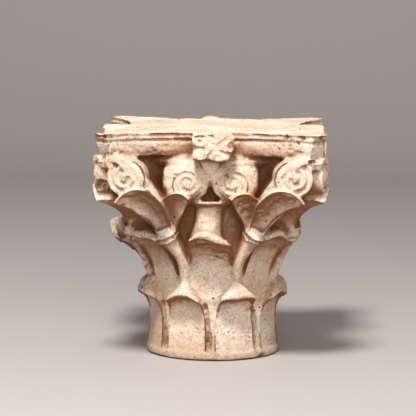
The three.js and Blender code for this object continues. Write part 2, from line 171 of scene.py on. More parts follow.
def bellBody():
    base, rim, top, lip = bell["baseRadius"], bell["rimRadius"], bell["height"], bell["lip"]
    face = [[bell["neckRadius"] + out, height] for out, height in bell["face"]]
    profile = np.vstack([
        [[0, 0], [base - 4, 0]],
        arc((base - bell["edge"], bell["edge"] + 1), bell["edge"], -70, 0, 5),
        [[base, 12], [base - 1, 17]],
        smoothPath(face + [[rim - 24, top - 38], [rim - 12, top - 20]], 5),
        arc((rim - lip, top - lip - 1), lip, -70, 90, 8),
        [[rim - lip, top + overlap], [0, top + overlap]],
    ])
    t = np.radians(np.arange(0, 360, 3))[:, None]
    loops = around(t, profile[None, 1:-1, 0], profile[None, 1:-1, 1])
    return loft(np.swapaxes(loops, 0, 1))


# leaves

leafForm = {
    # how steeply the lip falls and thins towards the leaf's edges, and how it waves
    "sagPower": 2.4, "thinPower": 2.6, "waves": 3.3, "waveTurn": 5,
    "hollowShares": [0, 0.3, 0.75, 1, 0.6], "rootDepth": 22,
}
lowerRow = {
    "count": 8, "firstAngle": 22.5,
    "faceRadius": 131, "lipHeight": 131, "reach": 156, "lipRadius": 9, "crest": 165,
    "scoop": 8, "droop": 9, "ripple": 2.6, "tilt": 0, "back": 5, "lean": 0, "shoulder": 3,
    "thinning": 0.35, "coreWidth": 34, "hollowAt": [0, 0.1, 0.5, 0.86, 1], "rimPower": 3.6,
    # how far the face stands out from its radius, and at what height
    "face": [(1, 0.5), (0, 20), (-3, 55), (-3, 80), (1, 100), (8, 114)],
    # half width at each height, then over the top from the lip to the bell
    "widths": [(0, 44), (20, 43.5), (60, 42), (90, 40), (120, 37.5), (134, 37)],
    "topWidths": (36, 4),
}
upperRow = {
    "stemRadius": 127, "root": 22, "bladeFoot": 120, "lipHeight": 249, "lipRadius": 11,
    "side": {"width": 1.08, "scoop": 17}, "corner": {"width": 0.96, "scoop": 9},
    "reaches": [192, 187, 178, 198, 203, 200, 207, 198],   # what is left of each leaf, from the front on
    "droop": 8, "crest": 285, "ripple": 3.2, "tilt": 4, "back": 8, "lean": 6, "shoulder": 22,
    "thinning": 0.62, "coreWidth": 34, "hollowAt": [0, 0.3, 0.58, 0.84, 1], "rimPower": 3.4,
    # half width at each height: the stem, then the blade, which takes the leaf's own width
    "stemWidths": [(22, 3.5), (40, 6), (80, 6.5), (95, 8.5), (108, 12.5)],
    "widths": [(116, 40), (160, 38.5), (200, 38.5), (235, 41), (250, 41)],
    "topWidths": (41, 22),
}


def leafBody(angle, p, face, lip, top, halfWidth, topWidth):
    # side profiles from edge to edge: up the hollow face, round the lip and back over the top
    core = bell["neckRadius"] - leafForm["rootDepth"]
    across = np.sin(np.linspace(-1, 1, 45) * math.pi / 2)
    share = np.linspace(0, 1, len(face))
    hollow = p["scoop"] * np.interp(share, p["hollowAt"], leafForm["hollowShares"])
    k = np.linspace(0, 1, len(top))
    lipRise = lip[:, 1] - lip[0, 1]
    loops = []
    for u in across:
        sag = abs(u) ** leafForm["sagPower"]
        wave = math.sin(leafForm["waves"] * u + leafForm["waveTurn"] * angle)
        drop = p["droop"] * sag + p["tilt"] * u + p["ripple"] * wave
        thinner = p["thinning"] * abs(u) ** leafForm["thinPower"]
        r = np.concatenate([face[:, 0] - hollow * (1 - abs(u) ** p["rimPower"]), lip[:, 0] - p["back"] * sag,
                            top[:, 0] - p["back"] * sag * (1 - k), [core, core]])
        z = np.concatenate([face[:, 1] - drop * share ** 3, lip[:, 1] - thinner * lipRise - drop,
                            top[:, 1] - thinner * lipRise[-1] * (1 - k) - drop * (1 - 0.7 * k)
                            - p["shoulder"] * u * u * k ** 0.5])
        z = np.append(z, [z[-1], z[0]])
        w = np.concatenate([halfWidth(face[:, 1]), halfWidth(lip[:, 1]), topWidth(k)])
        w = np.append(w, [p["coreWidth"], w[0]])
        x = u * w + p["lean"] * (1 - smoothStep(z, 100, 150))
        loops.append(around(angle + x / np.maximum(r, core), r, z))
        if abs(u) == 1:
            # the side walls run back to a thin flat end inside the bell
            end = around(angle + u * p["coreWidth"] / core, 0.9 * core + 0.1 * (r - core), z)
            loops.insert(0 if u < 0 else len(loops), end)
    return loft(loops)


def lowerLeaf(angle):
    p = lowerRow
    z = p["lipHeight"]
    lip = arc((p["reach"] - p["lipRadius"], z), p["lipRadius"], -75, 62, 9)
    face = [[p["faceRadius"] + out, height] for out, height in p["face"]]
    face = smoothPath(face + [[lip[0, 0] - 4, lip[0, 1] - 2]], 7)
    top = bezier([lip[-1], [lip[-1, 0] - 8, z + 16], [134, z + 24], [120, p["crest"]]], 10)[1:]

    def halfWidth(height):
        return along(height, p["widths"])

    def topWidth(share):
        return mix(*p["topWidths"], share)

    return leafBody(angle, p, face, lip, top, halfWidth, topWidth)


def upperLeaf(angle, reach, kind):
    p = {**upperRow, **upperRow[kind]}
    width = p["width"]
    z = p["lipHeight"]
    lip = arc((reach - p["lipRadius"], z), p["lipRadius"], -78, 66, 9)
    under = (lip[0, 0] - 4, lip[0, 1] - 2)
    share = np.linspace(0, 1, 40)
    face = np.stack([mix(p["stemRadius"] + 1, under[0], share ** 2.4),
                     mix(p["bladeFoot"], under[1], share)], axis=-1)
    face = np.vstack([[[p["stemRadius"] - 4, p["root"]], [p["stemRadius"], 80],
                       [p["stemRadius"] - 2, 108]], face])
    top = bezier([lip[-1], [lip[-1, 0] - 14, z + 15], [mix(128, reach, 0.45), z + 20],
                  [124, p["crest"]]], 9)[1:]
    widths = p["stemWidths"] + [(height, half * width) for height, half in p["widths"]]

    def halfWidth(height):
        return along(height, widths)

    def topWidth(share):
        lipWidth, bellWidth = p["topWidths"]
        return mix(lipWidth * width, bellWidth, share ** 0.55)

    return leafBody(angle, p, face, lip, top, halfWidth, topWidth)


# stalks with their double rings

stalk = {
    "path": [(47, -113, 146), (56, -133, 198), (82, -150, 246), (93, -156, 268)],
    "radius": 18.5, "ring": 24, "ringGap": 19, "backing": 2.4,
}


def stalkBody():
    # a round stalk let into the bell behind, with its double ring
    ring, gap, body = stalk["ring"], stalk["ringGap"], stalk["radius"]
    stops = [
        (0, 12), (0.2, 12), (0.36, 12.5), (0.52, 15.5), (0.58, body), (0.615, ring - 2), (0.632, ring),
        (0.655, ring - 0.5), (0.668, gap), (0.684, gap), (0.695, ring), (0.72, ring + 1.5),
        (0.742, ring), (0.76, gap), (1.0, gap - 1),
    ]
    path = smoothPath(stalk["path"], 22)
    way = np.gradient(path, axis=0)
    way /= np.linalg.norm(way, axis=1)[:, None]
    t = np.linspace(0, 2 * math.pi, 40, endpoint=False)[:, None]
    loops = []
    for share, at, direction in zip(np.linspace(0, 1, len(path)), path, way):
        radius = np.interp(share, *zip(*stops))
        outward = np.array([at[0], at[1], 0]) / math.hypot(at[0], at[1])
        outward = outward - direction * (outward @ direction)
        outward /= np.linalg.norm(outward)
        side = np.cross(direction, outward)
        bow = np.where(np.sin(t) < 0, stalk["backing"] * body / radius, 1.0)
        loops.append(at + radius * (np.cos(t) * side + bow * np.sin(t) * outward))
    return loft(loops)


# calyx leaves above the double rings

cornerCalyx = {
    "lipHeight": 345, "halfWidth": 47, "foot": 15, "lean": 50, "reach": 85, "turn": 4,
    "arch": 0.3, "hollow": 12, "flare": 1.9, "bend": 1.25,
}
innerCalyx = {
    "lipHeight": 335, "halfWidth": 27, "foot": 14, "lean": -21, "reach": 44, "turn": 4,
    "arch": 0.17, "hollow": 7, "flare": 2.6, "bend": 1.2,
}
# out and up, as shares of the reach and the rise: the front, the lip, and back over the top
calyxProfile = [
    (0.16, 0), (0.2, 0.16), (0.34, 0.42), (0.6, 0.7), (0.86, 0.88), (0.97, 0.945),
    (1.0, 0.97), (0.98, 1.0), (0.88, 1.03), (0.6, 1.05), (0.1, 1.05), (-0.4, 1.0),
]


def calyxBody(p):
    # one leaf of the calyx: hollow in front, arched at the lip, thick at the back
    root = np.array(stalk["path"][2], float)
    foot = root[2] - overlap
    rise = p["lipHeight"] - foot
    profile = np.vstack([smoothPath(calyxProfile, 6), [[-0.42, 0.7], [-0.42, 0.0]]])
    out, up = profile[:, 0], profile[:, 1]
    share = np.clip(up, 0, 1)
    frontPoints = 32   # points of the profile from the foot to the edge of the lip
    face = np.zeros(len(profile))
    face[:frontPoints] = np.sin(np.linspace(0, math.pi, frontPoints)) ** 0.6
    loops = []
    for u in np.linspace(-1, 1, 37):
        sag = abs(u) ** 2.2
        width = mix(p["foot"], p["halfWidth"], share ** p["flare"])
        x = u * width + p["lean"] * share ** p["bend"]
        reach = p["reach"] * out * (1 - 0.12 * sag * share) - p["hollow"] * face * (1 - abs(u) ** 3)
        z = foot + rise * (up - p["arch"] * sag * share ** 2)
        local = turned(np.stack([x, -reach, z], axis=-1), p["turn"])
        local[:, :2] += root[:2]
        loops.append(local)
    return loft(loops)


# spirals

volute = {
    "radius": 38, "reach": 226, "side": 160, "drop": 36, "turn": 8, "depth": 62,
    "pitch": 14, "eye": 6, "groove": 5.5, "grooveWidth": 3.0, "dome": 7,
    # its stem, from the calyx up: x, y, z, thickness, depth
    "stem": [
        (90, -166, 288, 24, 50), (101, -186, 314, 30, 56), (123, -208, 341, 36, 60),
        (139, -220, 362, 36, 60), (151, -226, 382, 30, 60), (166, -226, 395, 22, 56),
        (186, -218, 398, 16, 50), (200, -212, 388, 12, 46),
    ],
}
helix = {
    "radius": 30, "reach": 191, "side": 43, "drop": 49, "turn": 0, "depth": 40,
    "pitch": 11.5, "eye": 5, "groove": 4.2, "grooveWidth": 2.5, "dome": 2,
}
scroll = {
    "halfWidth": 47, "halfHeight": 38, "side": 47, "drop": 48, "reach": 186,
    # the worn face from its back edge in: how far behind the reach, and share of the size
    "face": [(46, 1), (20, 1), (10, 0.98), (5, 0.9), (2, 0.74), (0.6, 0.5), (0, 0.25), (0, 0.03)],
}


def spiralBody(p, hand):
    # a domed disc with a spiral groove; hand is the way it winds
    rings = np.concatenate([np.linspace(0.02, 0.97, 34), [1.0]]) * p["radius"]
    t = np.linspace(0, 2 * math.pi, 96, endpoint=False)
    turn = np.mod(hand * t + math.radians(200), 2 * math.pi) / (2 * math.pi)
    loops = []
    for rho in rings:
        depth = p["dome"] * (rho / p["radius"]) ** 2.2
        for lap in range(3):
            track = p["eye"] + p["pitch"] * (turn + lap)
            depth = depth + p["groove"] * np.exp(-((rho - track) / p["grooveWidth"]) ** 2)
        loops.append(np.stack([rho * np.cos(t), np.broadcast_to(depth, t.shape), rho * np.sin(t)], -1))
    loops.append(np.stack([p["radius"] * np.cos(t), np.full(t.shape, p["depth"]),
                           p["radius"] * np.sin(t)], -1))
    points, faces = loft(loops)
    points = turned(points, p["turn"])
    points += np.array([p["side"], -p["reach"], bell["height"] - p["drop"]])
    return points, faces


def band(stops, rounding=0.35):
    # a bar with rounded corners along a path: rows of x, y, z, thickness across, depth to the back
    rows = smoothPath(stops, 7)
    way = np.gradient(rows[:, :3], axis=0)
    loops = []
    t = np.linspace(0, 2 * math.pi, 28, endpoint=False)
    boxX = np.sign(np.cos(t)) * np.abs(np.cos(t)) ** rounding
    boxY = np.sign(np.sin(t)) * np.abs(np.sin(t)) ** rounding
    for row, direction in zip(rows, way):
        side = np.array([-direction[2], 0, direction[0]])
        side /= np.linalg.norm(side)
        centre = row[:3] + np.array([0, row[4] / 2, 0])
        loops.append(centre + boxX[:, None] * side * row[3] / 2
                     + boxY[:, None] * np.array([0, row[4] / 2, 0]))
    return loft(loops)


def scrollBody():
    # the broad worn scroll behind each helix
    p = scroll
    t = np.linspace(0, 2 * math.pi, 64, endpoint=False)
    bluntness = np.where((np.cos(t) > 0) & (np.sin(t) > 0), 0.5, 0.85)
    x = np.sign(np.cos(t)) * np.abs(np.cos(t)) ** bluntness
    z = np.sign(np.sin(t)) * np.abs(np.sin(t)) ** bluntness
    loops = []
    for back, share in smoothPath(p["face"], 4):
        loops.append(np.stack([p["side"] + p["halfWidth"] * share * x, 0 * t - p["reach"] + back,
                               bell["height"] - p["drop"] + p["halfHeight"] * share * z], axis=-1))
    return loft(loops)


# the web that joins the two volutes of a corner under the horn

web = {
    # radius, half thickness and lower edge, from the bell out
    "rows": [
        (110, 16, 290), (165, 18, 304), (215, 24, 324), (242, 26, 342), (266, 22, 364), (287, 16, 381),
    ],
}


def cornerWeb():
    loops = []
    for r, half, low in smoothPath(web["rows"], 5):
        top = bell["height"] + overlap
        t = np.linspace(0, 2 * math.pi, 32, endpoint=False)
        x = half * np.sign(np.cos(t)) * np.abs(np.cos(t)) ** 0.4
        z = mix(low, top, 0.5) + (top - low) / 2 * np.sign(np.sin(t)) * np.abs(np.sin(t)) ** 0.4
        loops.append(turned(np.stack([x, np.full(len(t), -r), z], axis=-1), 45))
    return loft(loops)


# the cup in the middle of each side, and the knot over it where the helices meet

cup = {
    "foot": 232, "top": 317, "lean": -10, "reach": 138, "tilt": 8, "flatness": 0.9,
    "radii": [(0, 36), (0.3, 31), (0.6, 29), (0.8, 29), (0.86, 32), (0.905, 41), (0.93, 43), (0.98, 44),
              (1.02, 39)],
}
knot = {
    # from the cup up: x, y, z, thickness, depth
    "rows": [
        (0, -172, 346, 6, 36), (0.01, -180, 356, 14, 40), (0.02, -186, 372, 30, 44),
        (0.03, -192, 392, 48, 50), (0.04, -200, 408, 60, 50),
    ],
}


def cupBody():
    loops = []
    t = np.linspace(0, 2 * math.pi, 48, endpoint=False)
    for share in np.linspace(0, 1.02, 44):
        radius = np.interp(share, *zip(*cup["radii"]))
        loops.append(np.stack([cup["lean"] * (1 - share) + radius * np.cos(t),
                               -cup["reach"] - cup["tilt"] * share + radius * cup["flatness"] * np.sin(t),
                               0 * t + mix(cup["foot"], cup["top"], share)], axis=-1))
    return loft(loops)


# rosette on the middle of each side of the abacus

rosette = {
    "reach": 222, "halfWidth": 43, "halfHeight": 30, "petals": 5, "turn": -0.35, "shift": 5, "rise": 22,
    "depth": 70, "worn": 0.94, "dome": 9, "ring": 2.5, "crease": 6, "petalCup": 3.4, "lobes": 0.05,
}


def rosetteBody():
    # a worn flower: creases between the petals, a ring and an eye sunk in a low dome
    p = rosette
    t = np.linspace(0, 2 * math.pi, 120, endpoint=False)
    squareness = (np.abs(np.cos(t)) ** 4 + np.abs(np.sin(t)) ** 4) ** -0.25
    swing = np.cos(p["petals"] * t + p["turn"])
    lobes = 1 + p["lobes"] * swing
    crease = (0.5 - 0.5 * swing) ** 6
    petalCup = (0.5 + 0.5 * swing) ** 0.7
    loops = []
    for share in np.linspace(0.02, 1, 30):
        depth = p["dome"] * share ** 7 + p["ring"] * math.exp(-((share - 0.26) / 0.06) ** 2)
        depth = depth + crease * p["crease"] * float(smoothStep(share, 0.2, 0.45))
        depth = depth + p["petalCup"] * math.exp(-((share - 0.6) / 0.12) ** 2) * petalCup
        spread = share * squareness * lobes
        x = p["shift"] + p["halfWidth"] * p["worn"] * spread * np.cos(t)
        z = bell["height"] + p["rise"] + p["halfHeight"] * p["worn"] * spread * np.sin(t)
        loops.append(np.stack([x, depth - p["reach"], z], axis=-1))
    back = loops[-1].copy()
    back[:, 1] = p["depth"] - p["reach"]
    loops.append(back)
    return loft(loops)


# abacus

def abacusOutline(inset, steps=44):
    reach = abacus["reach"] - inset
    half = reach - abacus["hornCut"] + inset * 0.4
    hollow = abacus["sideHollow"]
    radius = (half * half + hollow * hollow) / (2 * hollow)
    swing = math.asin(half / radius)
    t = np.linspace(-swing, swing, steps)
    side = np.stack([radius * np.sin(t), -reach + radius * (np.cos(t) - math.cos(swing)), 0 * t], -1)
    return np.vstack([turned(side, 90 * k) for k in range(4)])


def abacusBody():
    loops = []
    for up, inset in smoothPath(abacus["underside"], 2).tolist() + abacus["mouldings"]:
        outline = abacusOutline(inset)
        outline[:, 2] = bell["height"] + up * abacus["height"] / 50
        loops.append(outline)
    return loft(loops)


# broken places: lumps with rough faces, taken out of the stone

breaks = {
    "roughness": 0.28, "scale": 2.1,
    # place and half size, in millimetres
    "places": {
        "hornCornerLeft": ((-214, -212, 452), (20, 22, 9)),
        "hornBandLeft": ((-223, -205, 407), (11, 15, 13)),
        "hornHollowLeft": ((-208, -196, 344), (16, 20, 12)),
        "hornSlitRight": ((196, -224, 397), (13, 22, 3.2)),
        "calyxNotchLeft": ((-118, -224, 331), (6, 14, 9)),
        "lipRight": ((54, -186, 252), (24, 24, 28)),
        "rosetteTop": ((-14, -223, 444), (24, 12, 6)),
        "rosetteSide": ((44, -220, 428), (8, 10, 12)),
        "stalkRight": ((98, -152, 232), (5, 12, 5)),
        "footRight": ((104, -88, 0), (12, 12, 8)),
    },
}


def roughLump(at, size, seed):
    # a ball with uneven sides
    shape = bmesh.new()
    bmesh.ops.create_icosphere(shape, subdivisions=4, radius=1.0)
    for v in shape.verts:
        swell = noise.fractal(v.co * breaks["scale"] + Vector((seed, 0, 0)), 0.9, 2.0, 4)
        v.co *= 1 + breaks["roughness"] * swell
    points = np.array([v.co for v in shape.verts]) * size + at
    faces = [[v.index for v in face.verts] for face in shape.faces]
    shape.free()
    return points, faces


# Geometry Nodes helpers

def newTree(name, inputs):
    tree = bpy.data.node_groups.new(name, "GeometryNodeTree")
    tree.interface.new_socket("Geometry", in_out="OUTPUT", socket_type="NodeSocketGeometry")
    tree.interface.new_socket("Geometry", in_out="INPUT", socket_type="NodeSocketGeometry")
    for label, kind, value in inputs:
        socket = tree.interface.new_socket(label, in_out="INPUT", socket_type=kind)
        if value is not None:
            socket.default_value = value
    return tree


def feed(tree, socket, value):
    # another node's output is linked, anything else is set as the socket's own value
    if isinstance(value, bpy.types.NodeSocket):
        tree.links.new(value, socket)
    else:
        socket.default_value = value


def addNode(tree, kind, inputs=(), **settings):
    node = tree.nodes.new(kind)
    for key, value in settings.items():
        setattr(node, key, value)
    for name, value in dict(inputs).items():
        feed(tree, node.inputs[name], value)
    return node


def addModifier(obj, tree, values):
    modifier = obj.modifiers.new(tree.name, "NODES")
    modifier.node_group = tree
    for item in tree.interface.items_tree:
        if item.item_type == "SOCKET" and item.in_out == "INPUT" and item.name in values:
            modifier[item.identifier] = values[item.name]


def bake(obj, name):
    # the evaluated mesh as a plain object; the source object goes
    bpy.context.view_layer.update()
    evaluated = obj.evaluated_get(bpy.context.evaluated_depsgraph_get())
    mesh = bpy.data.meshes.new_from_object(evaluated)
    mesh.name = name
    bpy.data.objects.remove(obj)
    baked = bpy.data.objects.new(name, mesh)
    bpy.context.scene.collection.objects.link(baked)
    return baked


def endTree(tree, geometry, material):
    real = addNode(tree, "GeometryNodeRealizeInstances", {0: geometry})
    finish = addNode(tree, "GeometryNodeSetMaterial", {"Geometry": real.outputs[0], "Material": material})
    feed(tree, tree.nodes.new("NodeGroupOutput").inputs[0], finish.outputs[0])


def turnedCopiesTree(material):
    # copies of a body around the axis, with a mirrored twin for each one if asked
    tree = newTree("turnedCopies", [
        ("Copies", "NodeSocketInt", 4),
        ("First angle", "NodeSocketFloat", 0.0),
        ("Both hands", "NodeSocketBool", False),
        ("Material", "NodeSocketMaterial", material),
    ])
    source = tree.nodes.new("NodeGroupInput").outputs
    twin = addNode(tree, "GeometryNodeTransform", {"Geometry": source["Geometry"], "Scale": (-1, 1, 1)})
    twin = addNode(tree, "GeometryNodeFlipFaces", {"Mesh": twin.outputs[0]})
    pair = addNode(tree, "GeometryNodeJoinGeometry", {"Geometry": source["Geometry"]})
    feed(tree, pair.inputs[0], twin.outputs[0])
    body = addNode(tree, "GeometryNodeSwitch", {
        "Switch": source["Both hands"], "False": source["Geometry"], "True": pair.outputs[0],
    }, input_type="GEOMETRY")
    points = addNode(tree, "GeometryNodeMeshLine", {"Count": source["Copies"], "Offset": (0, 0, 0)})
    index = addNode(tree, "GeometryNodeInputIndex")
    step = addNode(tree, "ShaderNodeMath", {0: 2 * math.pi, 1: source["Copies"]}, operation="DIVIDE")
    angle = addNode(tree, "ShaderNodeMath", {
        0: index.outputs[0], 1: step.outputs[0], 2: source["First angle"],
    }, operation="MULTIPLY_ADD")
    turn = addNode(tree, "ShaderNodeCombineXYZ", {"Z": angle.outputs[0]})
    rotation = addNode(tree, "FunctionNodeEulerToRotation", {0: turn.outputs[0]})
    instances = addNode(tree, "GeometryNodeInstanceOnPoints", {
        "Points": points.outputs[0], "Instance": body.outputs[0], "Rotation": rotation.outputs[0],
    })
    endTree(tree, instances.outputs[0], source["Material"])
    return tree


def wearAndShadeTree(material):
    # wears the skin inwards along its normals: broad softening, grain, pits in patches, and
    # level streaks where the bedding shows near the top; then stores a painted shade mask
    tree = newTree("wearAndPaintedShade", [
        ("Broad wear", "NodeSocketFloat", 0.0032),
        ("Broad scale", "NodeSocketFloat", 34.0),
        ("Grain", "NodeSocketFloat", 0.0022),
        ("Grain scale", "NodeSocketFloat", 120.0),
        ("Streaks", "NodeSocketFloat", 0.0018),
        ("Streak height", "NodeSocketFloat", 0.43),
        ("Pits", "NodeSocketFloat", 0.0032),
        ("Pit scale", "NodeSocketFloat", 105.0),
        ("Pit patches", "NodeSocketFloat", 0.56),
        ("Pitted place", "NodeSocketVector", (-0.205, -0.215, 0.415)),
        ("Pitted reach", "NodeSocketFloat", 0.06),
        ("Shade ray reach", "NodeSocketFloat", 0.13),
        ("Rays", "NodeSocketInt", 20),
        ("Underside shade", "NodeSocketFloat", 0.75),
        ("Seed", "NodeSocketInt", 7),
        ("Material", "NodeSocketMaterial", material),
    ])
    source = tree.nodes.new("NodeGroupInput").outputs
    place = addNode(tree, "GeometryNodeInputPosition").outputs[0]
    normal = addNode(tree, "GeometryNodeInputNormal").outputs[0]

    def maths(operation, *terms):
        return addNode(tree, "ShaderNodeMath", enumerate(terms), operation=operation).outputs[0]

    def vectorMaths(operation, first, second):
        return addNode(tree, "ShaderNodeVectorMath", {0: first, 1: second}, operation=operation).outputs[0]

    def scaled(vector, scale):
        return addNode(tree, "ShaderNodeVectorMath", {0: vector, "Scale": scale},
                       operation="SCALE").outputs[0]

    def upward(vector):
        return addNode(tree, "ShaderNodeSeparateXYZ", {0: vector}).outputs[2]

    def cloud(vector, scale, detail=3.0):
        return addNode(tree, "ShaderNodeTexNoise", {
            "Vector": vector, "W": source["Seed"], "Scale": scale, "Detail": detail, "Roughness": 0.55,
        }, noise_dimensions="4D").outputs[0]

    def above(value, low, high):
        return addNode(tree, "ShaderNodeMapRange", {
            "Value": value, "From Min": low, "From Max": high,
        }, interpolation_type="SMOOTHSTEP").outputs[0]

    broad = maths("MULTIPLY", cloud(place, source["Broad scale"]), source["Broad wear"])
    grain = maths("MULTIPLY", cloud(place, source["Grain scale"], 2.0), source["Grain"])
    stretch = vectorMaths("MULTIPLY", place, (7, 85, 85))
    streakTop = maths("ADD", source["Streak height"], 0.02)
    streaks = maths("MULTIPLY", above(cloud(stretch, 1.0, 2.0), 0.42, 0.62),
                    above(upward(place), source["Streak height"], streakTop))
    streaks = maths("MULTIPLY", streaks, source["Streaks"])
    cells = addNode(tree, "ShaderNodeTexVoronoi", {"Vector": place, "Scale": source["Pit scale"]})
    patches = above(cloud(place, 9.0), source["Pit patches"], maths("ADD", source["Pit patches"], 0.08))
    away = addNode(tree, "ShaderNodeVectorMath", {0: place, 1: source["Pitted place"]},
                   operation="DISTANCE").outputs["Value"]
    patches = maths("MAXIMUM", patches, above(away, source["Pitted reach"], 0.02))
    pits = maths("MULTIPLY", above(cells.outputs["Distance"], 0.42, 0.12), patches)
    pits = maths("MULTIPLY", pits, source["Pits"])
    depth = maths("ADD", maths("ADD", broad, grain), maths("ADD", streaks, pits))
    worn = addNode(tree, "GeometryNodeSetPosition", {
        "Geometry": source["Geometry"], "Offset": scaled(normal, maths("MULTIPLY", depth, -1.0)),
    })

    # rays from each place into the open; the share that meets stone is painted as shade
    zoneStart = tree.nodes.new("GeometryNodeRepeatInput")
    zoneEnd = tree.nodes.new("GeometryNodeRepeatOutput")
    zoneStart.pair_with_output(zoneEnd)
    zoneEnd.repeat_items.new("FLOAT", "Met")
    feed(tree, zoneStart.inputs["Iterations"], source["Rays"])
    feed(tree, zoneStart.inputs["Geometry"], worn.outputs[0])
    seed = addNode(tree, "FunctionNodeIntegerMath", {
        0: source["Seed"], 1: zoneStart.outputs["Iteration"],
    }, operation="ADD")
    aim = addNode(tree, "FunctionNodeRandomValue", {
        0: (-1, -1, -1), "Seed": seed.outputs[0],
    }, data_type="FLOAT_VECTOR")
    aim = addNode(tree, "ShaderNodeVectorMath", {0: aim.outputs[0]}, operation="NORMALIZE")
    ray = addNode(tree, "GeometryNodeRaycast", {
        "Target Geometry": worn.outputs[0],
        "Source Position": vectorMaths("ADD", place, scaled(normal, 0.0008)),
        "Ray Direction": vectorMaths("ADD", aim.outputs[0], normal),
        "Ray Length": source["Shade ray reach"],
    })
    feed(tree, zoneEnd.inputs["Geometry"], zoneStart.outputs["Geometry"])
    feed(tree, zoneEnd.inputs["Met"], maths("ADD", zoneStart.outputs["Met"], ray.outputs["Is Hit"]))
    # painted shade on undersides: the more a place faces down, the darker it is painted
    undersideShade = maths("MAXIMUM", maths("MULTIPLY", upward(normal), -1.0), 0.0)
    # painted shade mask: share of rays that meet stone plus the underside share
    paintedShade = maths("ADD", maths("DIVIDE", zoneEnd.outputs["Met"], source["Rays"]),
                    maths("MULTIPLY", undersideShade, source["Underside shade"]))
    kept = addNode(tree, "GeometryNodeStoreNamedAttribute", {
        "Geometry": zoneEnd.outputs["Geometry"], "Name": "paintedShade", "Value": paintedShade,
    }, data_type="FLOAT")
    again = addNode(tree, "GeometryNodeInputNamedAttribute", {"Name": "paintedShade"}, data_type="FLOAT")
    blurred = addNode(tree, "GeometryNodeBlurAttribute", {0: again.outputs[0], "Iterations": 3})
    smooth = addNode(tree, "GeometryNodeStoreNamedAttribute", {
        "Geometry": kept.outputs[0], "Name": "paintedShade", "Value": blurred.outputs[0],
    }, data_type="FLOAT")
    endTree(tree, smooth.outputs[0], source["Material"])
    return tree


def shapesOf(obj, count):
    # an object of equal copies taken back as (points in millimetres, faces), one for each copy
    mesh = obj.data
    points = np.zeros(len(mesh.vertices) * 3)
    mesh.vertices.foreach_get("co", points)
    points = points.reshape(count, -1, 3) / millimetre
    faces = [list(p.vertices) for p in mesh.polygons]
    bpy.data.objects.remove(obj)
    step = len(faces) // count
    return [(block, [[v - i * len(block) for v in face] for face in faces[i * step:(i + 1) * step]])
            for i, block in enumerate(points)]


# material

look = {
    "roughness": 0.93, "shine": 0.2,
    "cream": (0.78, 0.57, 0.41), "pale": (0.90, 0.78, 0.66), "tan": (0.46, 0.29, 0.18),
    "shadeBrown": (0.28, 0.108, 0.038), "pit": (0.06, 0.035, 0.024), "lichen": (0.27, 0.23, 0.15),
    # grey-green growth on the leaf tips: place and radius in millimetres
    "spots": [((-198, -30, 262), 48), ((-150, -62, 140), 34), ((150, -62, 140), 34), ((88, -172, 372), 32),
              ((-128, -142, 258), 40), ((82, -106, 48), 34)],
}


